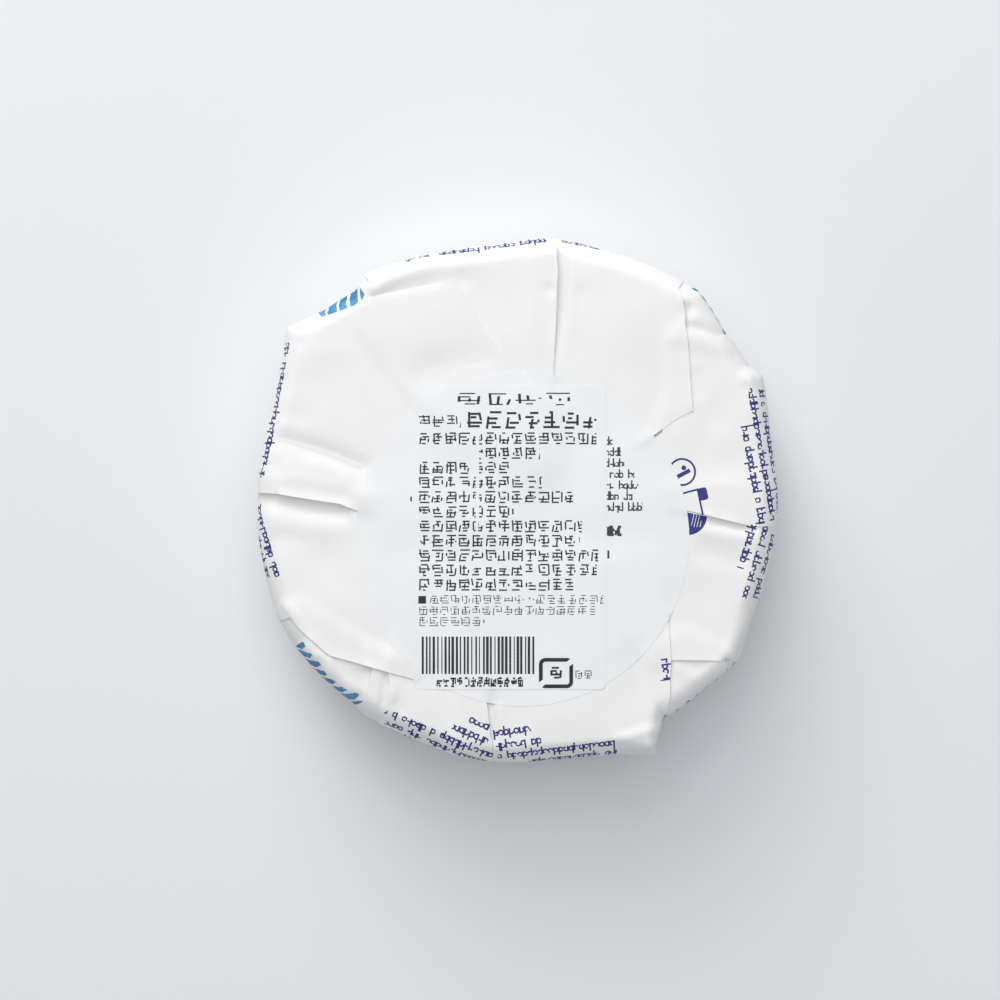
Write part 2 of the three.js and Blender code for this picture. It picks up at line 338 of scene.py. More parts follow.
add_flap(
    "flap_right_upper", (354, 398.4), (353, 397),
    (*TOP_EDGE_B, (32.6, 33), (32.6, 24), (30, 14), (20, 6), (16, 0), (30, -1), *PLEAT_RIGHT),
    curl(PLEAT_RIGHT, 1.6, 0.3, (0.05, 0.3)),
    curl(TOP_EDGE_B, 1.2, -0.16, (0.02, 0.02)),
    dent(40.2, 15.6, 3.4, -0.3, 1.8, 60),
    dent(43, 8.6, 4, -0.28, 1.8, 10),
    crease(((36.8, 27.5), (37.6, 20.5)), 1.6, -0.2, (0.2, 0.2)),
    fold(((46.6, 27.4), (50.4, 26)), 1.3, 0.35, (0.2, 0.2)),
    fold(((49.2, 29.6), (51, 23.4)), 1.1, -0.35, (0.2, 0.2)),
    crease(((47.6, 23.6), (48.8, 22.3)), 0.7, -0.4),
    crumple(49.5, 26, 3.6, 0.22, 1.9),
    crease(((44.5, 31), (48.8, 26.6)), 1.2, -0.22, (0.2, 0.2)),
)
add_flap(
    "flap_bottom_right", (257, 298.6), (258, 297),
    (*EDGE_K, (28, -14), (8, -16), (-10, -24), (-11.5, -44)),
    crease(((-5.6, -40.6), (-5.1, -45.6), (-4.7, -48.7), (-4.1, -52.4)), 0.8, -0.7, (0.02, 0.3)),
    crease(((-3.6, -42), (-3.2, -46), (-2.8, -50.5)), 1.1, 0.2, (0.1, 0.3)),
    fold(((18.5, -50), (23.5, -48.9), (29.8, -47.1)), 1.5, 0.5, (0.35, 0.02)),
    fold(((29.9, -46.6), (28.6, -50), (27.6, -53)), 1.7, 0.5, (0.02, 0.3)),
    curl(EDGE_K, 1.5, 0.18, (0.1, 0.3)),
    dent(24.5, -38.5, 4.5, -0.25, 1.5, 60),
    dent(8, -45.5, 4.5, 0.15, 2, -5),
)
add_flap(
    "flap_top_right", (52.8, 86.5), (50.5, 86),
    ((3.6, 46), (2.6, 36), (2.4, 22), (6, 8), (20, 9), *FOOT_EDGE_A[::-1], *RIGHT_EDGE_A[-2::-1]),
    crease(((9, 53.5), (9.2, 50), (9.1, 46), (8.6, 38.4), (8.2, 32.1), (7.8, 26.1)), 1.2, -1.15, (0.1, 0.6)),
    crease(((11.4, 51), (11.3, 45), (10.8, 38.4), (10.2, 30)), 1.4, 0.12, (0.15, 0.2)),
    curl(FOOT_EDGE_A, 2.6, -0.13, (0.02, 0.01)),
    curl(RIGHT_EDGE_A, 2, 0.14, (0.1, 0.02)),
    dent(13.5, 42.5, 2.2, -0.16, 1.2, 0),
    dent(24, 36, 6, 0.2, 1.4, 50),
    dent(30, 22, 4.5, -0.16, 1.6, 70),
)
add_flap(
    "pleat_bottom_left", (231.6, 239.5), (230.5, 238),
    ((-27.2, -43.2), (-24, -34), (-29.6, -31.5), (-30.1, -35), (-31.4, -41.6)),
    crease(((-30.1, -35), (-31.4, -41.6)), 1.3, 0.25),
    crease(((-27.2, -36), (-27.9, -43)), 0.6, -0.4),
)
add_flap(
    "flap_bottom_left", (238.3, 264.7), (237, 264.2),
    (*PLEAT_BOTTOM[::-1], (-6.6, -36), (-8, -20), (-20, -18), (-25.6, -32), (-26.8, -36.3),
     (-26.4, -37.9), (-27, -41.5)),
    curl(PLEAT_BOTTOM, 1.3, 0.22, (0.02, 0.3)),
    crumple(-25.6, -39.6, 1.8, 0.3, 1.3, 11),
    fold(((-25.4, -40.6), (-24.4, -42.6), (-23.4, -45.2)), 0.9, -0.32, (0.2, 0.2)),
    fold(((-26, -37.4), (-26.2, -42.6)), 0.9, 0.3, (0.1, 0.2)),
    dent(-18.5, -42, 4.2, 0.22, 1.6, -25),
)
add_flap(
    "flap_top_left", (81.4, 124.2), (81, 123),
    ((-31, 45.8), (-32.2, 41.7), (-32, 36), (-23, 24), (-12, 14), (4, 10), *PLEAT_TOP[::-1]),
    curl(PLEAT_TOP, 1.3, 0.35, (0.1, 0.4)),
    dent(6.9, 43.6, 1.1, -0.3),
    fold(SLOPE_E, 4.4, -0.4, (0.1, 0.5)),
    fold(RIDGE_E, 4.2, 0.4, (0.05, 0.5)),
    fold(RIDGE_E, 2.4, 0.5, (0.05, 0.5)),
    dent(-7.5, 43.5, 3.6, -0.22, 1.5, -60),
    dent(0.5, 36, 5, 0.2, 1.6, 80),
    crease(((-12.6, 47.8), (-9.6, 44)), 1.2, -0.2, (0.3, 0.3)),
)
add_flap(
    "flap_left_lower", (175, 206.9), (175.5, 208.2),
    (*EDGE_H, (-14, -30), (-6, -6), (-26, 0.5), (-38.8, 2.6), (-49, 4.3)),
    crease(((-58, 0.5), (-50, -0.3), (-43, -1.7), (-36, -2.6), (-33.8, -3)), 1.9, -1, (0.02, 0.15)),
    crease(((-52, -5.4), (-47, -5.6), (-40.9, -6.3), (-34, -6)), 1.6, 0.1, (0.1, 0.2)),
    dent(-40.5, -11.5, 5, -0.4, 1.3, -50),
    dent(-49, -7.8, 2.4, -0.25, 1.8, 0),
    curl(EDGE_H, 2.2, 0.18, (0.06, 0.3)),
    dent(-32, -22, 6.5, 0.25, 1.4, 30),
    fold(((-49.6, -20.6), (-44.8, -25.4)), 1.3, 0.4, (0.1, 0.3)),
)
add_flap(
    "flap_left_upper", (143.1, 178.4), (142.4, 177.8),
    (*PLEAT_LEFT, (-10, -4), (2, 4), (3.5, 22), *RIGHT_EDGE_D, *TOP_EDGE_D),
    curl(PLEAT_LEFT, 1.8, 0.5, (0.05, 0.1)),
    curl(TOP_EDGE_D, 1.3, -0.26, (0.1, 0.15)),
    crease(((-53.5, 13.4), (-46, 11.8), (-38.8, 9.5), (-32.6, 6.9), (-29, 5.9)), 1.9, -0.62, (0.12, 0.15)),
    crease(((-45, 8.6), (-38.8, 6.4), (-33, 4)), 1.2, 0.2, (0.2, 0.2)),
    crease(((-50, 7.4), (-41, 5.2), (-34, 2.4)), 2, 0.22, (0.2, 0.2)),
    dent(-31.8, 0.6, 1.9, 0.3, 1.5, -40),
    dent(-46.4, 17.4, 2.2, -0.16, 1.8, -10),
    crease(((-24.5, 23), (-17.5, 27), (-9, 29.6), (-2, 29)), 3.2, -0.3, (0.3, 0.25)),
    fold(((-46, 31), (-42.2, 37.2)), 2, -0.3, (0.25, 0.05)),
    dent(-39, 31.5, 4, 0.2, 1.6, 20),
    dent(-20, 36, 6, 0.15, 1.8, 20),
)


def coverage(points, outline, bridge=BRIDGE):
    """1 on a flap, falling to 0 over the width that paper needs to come down off its edge."""
    return smooth(-bridge, 0, edge_distance(points, outline))


# The size, the seed and the height of the waves that all the paper shares.
SOFT_WAVES = ((13, 3, 0.16), (6.5, 8, 0.07))
SHARP_WAVES = (9, 21, 0.12)
SHARED_WAVES = 0.6  # how much of them shows


def surface_waves(points):
    """What no sheet of paper is without: it is never quite flat."""
    x, y = points[:, 0], points[:, 1]
    soft = sum(noise(x, y, size, seed) * height for size, seed, height in SOFT_WAVES)
    size, seed, height = SHARP_WAVES
    return soft + (0.5 - np.abs(noise(x, y, size, seed))) * height


def own_waves(points, seed):
    """The small waves that one flap has for itself."""
    return noise(points[:, 0], points[:, 1], 8, seed) * 0.05


def stack_rise(points, flaps, bridge=BRIDGE):
    """How high the tops of these flaps stand above the skin."""
    total = np.zeros(len(points))
    for flap in flaps:
        moved = flap_moves(flap, points)
        bridged = np.where(moved > 0, moved, moved * INTO_VALLEYS)
        total += coverage(points, flap["outline"], bridge) * (STEP + bridged)
    return total


def flap_moves(flap, points):
    return sum((move(points) for move in flap["moves"]), np.zeros(len(points)))


def flap_lift(index, points):
    """How high a flap lies above the skin, before the waves that all the paper shares."""
    below = FIRST_RISE + stack_rise(points, FLAPS[:index])
    return below + flap_moves(FLAPS[index], points) + own_waves(points, index + 40)


CLOSER_OVER_RIM = 0.55
CLOSER_AT_FOOT = 0.37
SUNK_AT_FOOT = 0.34
FOOT_PAST = 30.0  # how far past the rim's start the flaps have run into the skin


def over_rim(past):
    """0 on the back, rising to 1 at the top of the side."""
    return smooth(-1, RIM_LENGTH, past)


def side_fit(points, lift):
    """Down the side the layers lie closer, and at the foot they run into the skin."""
    past = beyond_rim(points[:, 0], points[:, 1])
    closeness = 1 - CLOSER_OVER_RIM * over_rim(past)
    closeness = closeness - CLOSER_AT_FOOT * smooth(RIM_LENGTH + 6, FOOT_PAST, past)
    return lift * closeness - SUNK_AT_FOOT * smooth(21, FOOT_PAST, past)


def resample(outline, spacing):
    """The outline with points no further apart than spacing."""
    points = []
    for (x0, y0), (x1, y1) in zip(outline, [*outline[1:], outline[0]]):
        steps = max(1, math.ceil(math.hypot(x1 - x0, y1 - y0) / spacing))
        points += [(x0 + (x1 - x0) * i / steps, y0 + (y1 - y0) * i / steps) for i in range(steps)]
    return points


ROW_SHARE = 0.866  # the height of a triangle with equal sides, as a share of its side
BORDER_SHARE = 0.8  # the spacing along an outline, as a share of the spacing inside it
MARGIN_SHARE = 0.45  # how far inside it the grid's points stay, as a share of the same


def grid(outline, spacing, margin):
    """Points of a triangular grid inside an outline."""
    outline = np.asarray(outline)
    low, high = outline.min(0), outline.max(0)
    rows = np.arange(low[1], high[1], spacing * ROW_SHARE)
    columns = np.arange(low[0], high[0], spacing)
    x, y = np.meshgrid(columns, rows)
    x = x + (np.arange(len(rows)) % 2)[:, None] * spacing / 2
    points = np.stack([x.ravel(), y.ravel()], axis=1)
    return points[edge_distance(points, outline) > margin]


def triangulate(outline, spacing, side_spacing):
    """The inside of an outline in triangles, larger down the side than on the back."""
    border = resample(outline, spacing * BORDER_SHARE)
    fine = grid(outline, spacing, spacing * MARGIN_SHARE)
    fine = fine[beyond_rim(fine[:, 0], fine[:, 1]) < RIM_LENGTH + 1]
    coarse = grid(outline, side_spacing, side_spacing * MARGIN_SHARE)
    coarse = coarse[beyond_rim(coarse[:, 0], coarse[:, 1]) >= RIM_LENGTH + 1]
    points = [Vector(p) for p in [*border, *fine, *coarse]]
    ring = list(range(len(border)))
    made = delaunay_2d_cdt(points, [], [ring], 1, 1e-5)
    vertices = np.array([tuple(v) for v in made[0]])
    triangles = np.array(made[2])
    corners = vertices[triangles]
    a, b = corners[:, 1] - corners[:, 0], corners[:, 2] - corners[:, 0]
    flipped = a[:, 0] * b[:, 1] - a[:, 1] * b[:, 0] < 0
    triangles[flipped] = triangles[flipped][:, ::-1]
    return vertices, triangles


def thicken(flat, triangles, lift, thickness):
    """A closed thin shell from a triangulated sheet: its vertices, its faces and its places on the sheet."""
    count = len(flat)
    top = place(flat[:, 0], flat[:, 1], lift + thickness / 2)
    bottom = place(flat[:, 0], flat[:, 1], lift - thickness / 2)
    edges = dict.fromkeys(edge for a, b, c in triangles.tolist() for edge in ((a, b), (b, c), (c, a)))
    border = [(a, b) for a, b in edges if (b, a) not in edges]
    walls = [(b, a, a + count, b + count) for a, b in border]
    faces = triangles.tolist() + (triangles[:, ::-1] + count).tolist() + walls
    return np.vstack([top, bottom]), faces, np.vstack([flat, flat])


def build_mesh(name, parts):
    """One object from parts, each (vertices, faces, places on the sheet, material index)."""
    vertices, faces, places, slots = [], [], [], []
    count = 0
    for part_vertices, part_faces, part_places, slot in parts:
        vertices.append(part_vertices)
        places.append(part_places)
        faces += [[i + count for i in face] for face in part_faces]
        slots += [slot] * len(part_faces)
        count += len(part_vertices)
    vertices, places = np.vstack(vertices), np.vstack(places)
    mesh = bpy.data.meshes.new(name)
    mesh.from_pydata(vertices.tolist(), [], faces)
    mesh.polygons.foreach_set("material_index", slots)
    mesh.polygons.foreach_set("use_smooth", [True] * len(faces))
    corners = np.zeros(len(mesh.loops), int)
    mesh.loops.foreach_get("vertex_index", corners)
    past = beyond_rim(places[:, 0], places[:, 1])
    for layer, values in (("sheet", places), ("past_rim", np.stack([past, past * 0], axis=1))):
        mesh.uv_layers.new(name=layer).data.foreach_set("uv", values[corners].ravel())
    mesh.update()
    made = bpy.data.objects.new(name, mesh)
    bpy.context.scene.collection.objects.link(made)
    return made


# -------- the wrapper

SKIN_TURNS = 360
OPENING = 5.0  # the radius of the hole in the back's middle, under the flaps
BACK_RINGS = 26


def between_rings(first, second):
    """Faces between two rings of the skin, each given by its number."""
    starts = [(i, (i + 1) % SKIN_TURNS) for i in range(SKIN_TURNS)]
    first, second = first * SKIN_TURNS, second * SKIN_TURNS
    return [(first + i, second + i, second + j, first + j) for i, j in starts]


def skin():
    """The sheet round the cheese, under the flaps: rings down the outside, and up the inside."""
    angles = np.linspace(0, 2 * math.pi, SKIN_TURNS, endpoint=False)
    rim = rim_radius(angles)
    edge = rim - RIM_WIDTH
    rings = [OPENING + (edge - OPENING) * share for share in np.linspace(0, 1, BACK_RINGS)]
    for stretch, count in ((RIM_LENGTH, 8), (SIDE_LENGTH, 11), (FOOT_LENGTH, 7)):
        rings += [edge + past for past in np.linspace(0, stretch, count + 1)[1:]]
        edge = edge + stretch
    end = RIM_LENGTH + SIDE_LENGTH + FOOT_LENGTH
    front_radius = ROUND_RADIUS + (rim - RIM_INSET - ROUND_RADIUS) * FOOT_CORNERS - FOOT
    rings += [rim - RIM_INSET - RIM_WIDTH + end + front_radius * share for share in (0.3, 0.6, 0.9)]
    outside = len(rings)
    inside = rings[:BACK_RINGS:5] + rings[BACK_RINGS - 1:outside:2]

    vertices, places = [], []

    def add(ring, lift):
        x, y = ring * np.cos(angles), ring * np.sin(angles)
        flat = np.stack([x, y], axis=1)
        past = beyond_rim(x, y)
        drawn_in = sum(valley(flat) for valley in VALLEYS) * (1 - CLOSER_OVER_RIM * over_rim(past))
        waves = surface_waves(flat) * smooth(26, 14, past) * SHARED_WAVES
        vertices.append(place(x, y, lift + drawn_in + waves))
        places.append(flat)

    for ring in rings:
        add(ring, 0.0)
    for ring in inside[::-1]:
        add(ring, -SKIN_THICKNESS)
    total = outside + len(inside)
    faces = []
    for ring in range(total - 1):
        if ring != outside - 1:
            faces += between_rings(ring, ring + 1)
    faces += between_rings(total - 1, 0)

    vertices, places = np.vstack(vertices), np.vstack(places)
    middle = len(vertices)
    ends = np.array([[0, 0, 0], [0, 0, SKIN_THICKNESS * MM]])
    vertices, places = np.vstack([vertices, ends]), np.vstack([places, [[FLAP_END, 0], [FLAP_END, 0]]])
    last, first = (outside - 1) * SKIN_TURNS, outside * SKIN_TURNS
    for i in range(SKIN_TURNS):
        j = (i + 1) % SKIN_TURNS
        faces.append((last + i, middle, last + j))
        faces.append((first + i, first + j, middle + 1))
    return vertices, faces, places


BACK_SPACING = 0.92
SIDE_SPACING = 2.2
BACK_PRINT, FRONT_PRINT = 0, 1  # the wrapper's two materials


def wrapper():
    """The skin and the flaps as one piece. The pockets between flaps show the sheet's printed front."""
    parts = [(*skin(), FRONT_PRINT)]
    for index, flap in enumerate(FLAPS):
        flat, triangles = triangulate(flap["outline"], BACK_SPACING, SIDE_SPACING)
        lift = flap_lift(index, flat) + surface_waves(flat) * SHARED_WAVES
        material = FRONT_PRINT if flap["name"].startswith("pocket") else BACK_PRINT
        parts.append((*thicken(flat, triangles, side_fit(flat, lift), PAPER), material))
    return build_mesh("wrapping_paper_sheet", parts)


# -------- the stickers

STICKER_CENTRE = (sticker_low[:2] + sticker_high[:2]) / 2
STICKER_RADIUS = (sticker_high[0] - sticker_low[0]) / 2
LABEL_CENTRE = (label_low[:2] + label_high[:2]) / 2
LABEL_HALF = (label_high[:2] - label_low[:2]) / 2
STICKER_THICKNESS = 0.05
LABEL_CORNER = 1.3
STUCK_GAP = 0.01
LABEL_GAP = 0.03  # from the sticker to the label
STICKER_REACH = 1.3  # the reach over which the sticker evens out what it is stuck on
INNER_BRIDGE = 9.0  # the width that it needs to come down off a flap, in its middle
STICKER_BORDER = (1.5, 7.0)  # where its border ends, from its edge, and where its middle begins
STUCK_SPACING = 1.1


def circle(centre, radius, steps):
    turns = [2 * math.pi * i / steps for i in range(steps)]
    return [(centre[0] + radius * math.cos(turn), centre[1] + radius * math.sin(turn)) for turn in turns]


def rounded_rectangle(centre, half, radius):
    points = []
    for sign_x, sign_y, start in ((1, 1, 0), (-1, 1, 90), (-1, -1, 180), (1, -1, 270)):
        x, y = centre[0] + sign_x * (half[0] - radius), centre[1] + sign_y * (half[1] - radius)
        for degrees in range(start, start + 91, 15):
            angle = math.radians(degrees)
            points.append((x + radius * math.cos(angle), y + radius * math.sin(angle)))
    return points


EDGE_REACH = 0.5  # how far past its outline a flap still holds up what lies on it


def top_of_flaps(points):
    """The height of the uppermost flap's own surface at each point."""
    top = np.zeros(len(points))
    for index, flap in enumerate(FLAPS):
        covered = edge_distance(points, flap["outline"]) > -EDGE_REACH
        top[covered] = flap_lift(index, points[covered])
    return top


def evened_top(points):
    """The flaps' tops, evened out as by something stuck on them."""
    steps = [polar(60 * i, STICKER_REACH) for i in range(6)]
    steps += [polar(60 * i + 30, STICKER_REACH / 2) for i in range(6)]
    return np.mean([top_of_flaps(points + np.array(step)) for step in steps], axis=0)


def sticker_rise(points):
    """The sticker follows the flaps at its edge, and lies smoother over them in its middle."""
    depth = smooth(*STICKER_BORDER, edge_distance(points, STICKER_OUTLINE))
    slack = FIRST_RISE + stack_rise(points, FLAPS, INNER_BRIDGE) - STEP
    outer = depth < 1
    close = np.zeros(len(points))
    close[outer] = evened_top(points[outer])
    smoothed = close * (1 - depth) + slack * depth
    return np.maximum(smoothed, top_of_flaps(points)) + STUCK_GAP + (PAPER + STICKER_THICKNESS) / 2


def label_rise(points):
    """The label follows the sticker, and comes down to the flaps past the sticker's edge."""
    over = smooth(-2.5, 0.1, edge_distance(points, STICKER_OUTLINE))
    return sticker_rise(points) + (STICKER_THICKNESS + LABEL_GAP) * over


STICKER_OUTLINE = circle(STICKER_CENTRE, STICKER_RADIUS, 180)
LABEL_OUTLINE = rounded_rectangle(LABEL_CENTRE, LABEL_HALF, LABEL_CORNER)


def stuck(name, outline, rise):
    flat, triangles = triangulate(outline, STUCK_SPACING, STUCK_SPACING)
    lift = rise(flat) + surface_waves(flat) * SHARED_WAVES
    return build_mesh(name, [(*thicken(flat, triangles, lift, STICKER_THICKNESS), 0)])


# -------- the cheese

CHEESE_TURNS = 240
CHEESE_EDGE = 6.0  # the radius of its rounded edges
CHEESE_SIDE_GAP = 1.2
CHEESE_TOP_GAP = 0.3
AXIS_GAP = 0.8  # from the axis to the innermost ring of each face
RIDGE_PITCH = 3.2
RIDGE_HEIGHT = 0.12
DEEPEST_PIT = 0.35


def cheese():
    """The rind: a wheel whose faces carry the fine ridges of the mat that it drained on."""
    radius = CHEESE_RADIUS - CHEESE_SIDE_GAP
    low, high = cheese_low[2], cheese_high[2] - CHEESE_TOP_GAP
    height, flat, edge = high - low, radius - CHEESE_EDGE, CHEESE_EDGE
    bend = np.linspace(0, math.pi / 2, 9)[1:]
    profile = [(r, 0.0) for r in np.linspace(AXIS_GAP, flat, 34)]
    profile += [(flat + edge * math.sin(a), edge - edge * math.cos(a)) for a in bend]
    profile += [(radius, z) for z in np.linspace(edge, height - edge, 12)[1:]]
    profile += [(flat + edge * math.cos(a), height - edge + edge * math.sin(a)) for a in bend]
    profile += [(r, height) for r in np.linspace(flat, AXIS_GAP, 34)[1:]]
    angles = np.linspace(0, 2 * math.pi, CHEESE_TURNS, endpoint=False)
    vertices = []
    for r, z in profile:
        x, y = r * np.cos(angles), r * np.sin(angles)
        on_face = smooth(radius, radius - 8, r)
        wavy = x + 0.4 * noise(x, y, 12, 4)
        ridges = RIDGE_HEIGHT * np.abs(np.sin(wavy * math.pi / RIDGE_PITCH)) * on_face
        mottled = 0.1 + 0.08 * noise(x + z, y, 7, 6) + 0.05 * noise(x - z, y + z, 2.5, 9)
        sink = np.clip(ridges + mottled, 0, DEEPEST_PIT)
        inwards = np.array([r * 0.06, z - height / 2])
        inwards = inwards / max(np.hypot(*inwards), 1e-9)
        if edge < z < height - edge:
            inwards = np.array([1.0, 0.0])
        scale = 1 - sink * inwards[0] / r
        vertices.append(np.stack([x * scale, y * scale, low + z - sink * inwards[1]], axis=1))
    vertices = np.vstack(vertices)
    turns = CHEESE_TURNS
    faces = [
        (start + i, start + (i + 1) % turns, start + turns + (i + 1) % turns, start + turns + i)
        for start in range(0, len(vertices) - turns, turns)
        for i in range(turns)
    ]
    faces.append(tuple(range(turns))[::-1])
    faces.append(tuple(range(len(vertices) - turns, len(vertices))))
    return build_mesh("soft_ripened_cheese", [(vertices * MM, faces, (vertices * MM)[:, :2] / MM, 0)])


# -------- node graphs written as formulas


def feed(tree, slot, value):
    """Link a signal to a node's slot, or set the slot to a plain value."""
    if isinstance(value, Signal):
        tree.links.new(value.socket, slot)
    else:
        slot.default_value = value


def by_node(operation):
    """A method that works its result out in a math node."""
    return lambda self, *others: self.of(operation, *others)


class Signal:
    """A value in a node graph, so that graphs can be written as arithmetic."""

    def __init__(self, tree, socket):
        self.tree, self.socket = tree, socket

    def of(self, operation, *others):
        node = self.tree.nodes.new("ShaderNodeMath")
        node.operation = operation
        for slot, value in zip(node.inputs, (self, *others)):
            feed(self.tree, slot, value)
        return Signal(self.tree, node.outputs[0])

    __add__ = by_node("ADD")
    __sub__ = by_node("SUBTRACT")
    __mul__ = by_node("MULTIPLY")
    __truediv__ = by_node("DIVIDE")
    __gt__ = by_node("GREATER_THAN")
    __lt__ = by_node("LESS_THAN")
    floor = by_node("FLOOR")
    fraction = by_node("FRACT")
    size = by_node("ABSOLUTE")
    root = by_node("SQRT")
    either = by_node("MAXIMUM")

    def between(self, low, high):
        return (self > low) * (self < high)


class Graph:
    """A material with the few kinds of node that this scene uses."""

    def __init__(self, name):
        self.material = bpy.data.materials.new(name)
        self.material.use_nodes = True
        self.tree = self.material.node_tree
        self.shader = self.tree.nodes["Principled BSDF"]

    def node(self, kind, **inputs):
        made = self.tree.nodes.new("ShaderNode" + kind)
        for name, value in inputs.items():
            feed(self.tree, made.inputs[name], value)
        return made

    def out(self, node, name=0):
        return Signal(self.tree, node.outputs[name])

    def sheet_place(self, layer="sheet"):
        """Where a point lies on the unrolled sheet, in millimetres."""
        uv = self.node("UVMap")
        uv.uv_map = layer
        parts = self.node("SeparateXYZ", Vector=self.out(uv))
        return self.out(parts, "X"), self.out(parts, "Y")

    def position(self):
        """A point's place in the object, in millimetres."""
        coordinates = self.node("TexCoord")
        scaled = self.node("VectorMath", Vector=self.out(coordinates, "Object"))
        scaled.operation = "SCALE"
        scaled.inputs["Scale"].default_value = 1 / MM
        return self.out(scaled)

    def vector(self, x, y, z=0.0):
        return self.out(self.node("CombineXYZ", X=x, Y=y, Z=z))

    def channels(self, colour):
        parts = self.node("SeparateColor", Color=colour)
        return [self.out(parts, name) for name in ("Red", "Green", "Blue")]

    def random(self, x, y, z=0.0):
        """Three random values for a cell."""
        made = self.node("TexWhiteNoise", Vector=self.vector(x, y, z))
        return self.channels(self.out(made, "Color"))

    def noise(self, place, scale, detail=2.0, roughness=0.5):
        made = self.node("TexNoise", Vector=place, Scale=scale, Detail=detail, Roughness=roughness)
        return self.out(made, "Fac")

    def ramp(self, value, stops, interpolation="LINEAR"):
        made = self.node("ValToRGB", Fac=value)
        made.color_ramp.interpolation = interpolation
        elements = made.color_ramp.elements
        while len(elements) < len(stops):
            elements.new(1.0)
        for element, (position, _) in zip(elements, stops):
            element.position = position
        for element, (_, colour) in zip(elements, stops):
            element.color = (*colour, 1.0)
        return self.out(made, "Color")

    def mix(self, share, first, second):
        made = self.node("Mix")
        made.data_type = "RGBA"
        for slot, value in ((0, share), (6, first), (7, second)):
            feed(self.tree, made.inputs[slot], (*value, 1.0) if isinstance(value, tuple) else value)
        return self.out(made, 2)

    def bump(self, height, distance, strength):
        return self.out(self.node("Bump", Height=height, Distance=distance, Strength=strength))

    def finish(self, colour, roughness, normal):
        for name, value in (("Base Color", colour), ("Roughness", roughness), ("Normal", normal)):
            feed(self.tree, self.shader.inputs[name], value)
        return self.material


def length(x, y):
    return (x * x + y * y).root()


def any_of(first, *others):
    for other in others:
        first = first.either(other)
    return first


def cells(value, pitch):
    """The number of the cell that a value falls in, and its place across that cell, from 0 to 1."""
    return (value / pitch).floor(), (value / pitch).fraction()


def turned(x, y, origin, degrees):
    """Coordinates along and across a line of print that starts at origin and runs in this direction."""
    c, s = math.cos(math.radians(degrees)), math.sin(math.radians(degrees))
    dx, dy = x - origin[0], y - origin[1]
    return dx * c + dy * s, dx * -s + dy * c


# -------- illegible print


def look_up(graph, row, rows):
    """The values that a table holds for a row number."""
    count, reach = len(rows), max(max(values) for values in rows)
    shares = [tuple(value / reach for value in values) for values in (*rows, (0, 0, 0))]
    stops = [((i + 0.02) / (count + 1), values) for i, values in enumerate(shares)]
    found = graph.ramp((row + 0.5) / (count + 1), stops, "CONSTANT")
    return [value * reach for value in graph.channels(found)]


def in_lines(graph, along, row, lines):
    """1 inside lines of type. Each line has an end, and the start and end of what follows after a gap."""
    end, start_again, end_again = look_up(graph, row, lines)
    first = (along > 0.0) * (along < end)
    second = (along > start_again) * (along < end_again)
    return first.either(second) * (row > -0.5) * (row < len(lines) - 0.5)


def gather(blocks):
    """One set of values out of several blocks that don't overlap: each is (inside, value, value...)."""
    totals = None
    for inside, *values in blocks:
        parts = [inside, *(value * inside for value in values)]
        totals = parts if totals is None else [total + part for total, part in zip(totals, parts)]
    return totals


def scribbled_letters(graph, along, up, row):
    """Small type that can't be read: arcs, stems and bars, in words. along and up are in x-heights."""
    pitch, stroke = 0.76, 0.125
    column, across = cells(along, pitch)
    across = (across - 0.5) * pitch
    open_x, open_y, shape = graph.random(column, row, 1.0)
    side, tall, space = graph.random(column, row, 2.0)
    middle = up - 0.5
    arc = (length(across, middle) - 0.34).size() < stroke
    arc = arc * (across * (open_x - 0.5) + middle * (open_y - 0.5) < 0.1) * (shape < 0.86)
    stem = (across - ((side > 0.5) * 0.52 - 0.26)).size() < stroke
    top, foot = (tall > 0.62) * 0.5 + 1.0, (tall < 0.16) * -0.45
    stem = stem * (up > foot) * (up < top) * ((shape > 0.52).either(tall > 0.62))
    bar = (middle + (open_x - 0.5) * 0.8).size() < stroke
    bar = bar * (across.size() < 0.28) * (shape > 0.78)
    return any_of(arc, stem, bar) * (space > 0.13)


def scribbled_signs(graph, right, down, column, row, stroke):
    """A dense sign that can't be read, of bars across and down. right and down are shares of its cell."""
    bars = []
    for i, middle in enumerate((0.12, 0.37, 0.62, 0.87)):
        start, end, lift = graph.random(column, row, 10.0 + i)
        bar = (down - (lift - 0.5) * 0.1 - middle).size() < stroke
        bars.append(bar * (right > start * 0.36 + 0.05) * (right < end * -0.36 + 0.93) * (lift > 0.1))
    for i, middle in enumerate((0.18, 0.5, 0.82)):
        start, end, lean = graph.random(column, row, 20.0 + i)
        slant = (down - 0.5) * (start - end) * 0.24
        bar = (right - (lean - 0.5) * 0.12 - middle + slant).size() < stroke
        bars.append(bar * (down > start * 0.5 + 0.03) * (down < end * -0.5 + 0.97) * (lean > 0.16))
    return any_of(*bars)


# -------- materials

VIOLET_INK = (0.03, 0.033, 0.21)
BLUE_INKS = ((0.02, 0.16, 0.38), (0.09, 0.335, 0.59))
BLACK_INK = (0.008, 0.008, 0.01)
GREY_INK = (0.03, 0.03, 0.031)

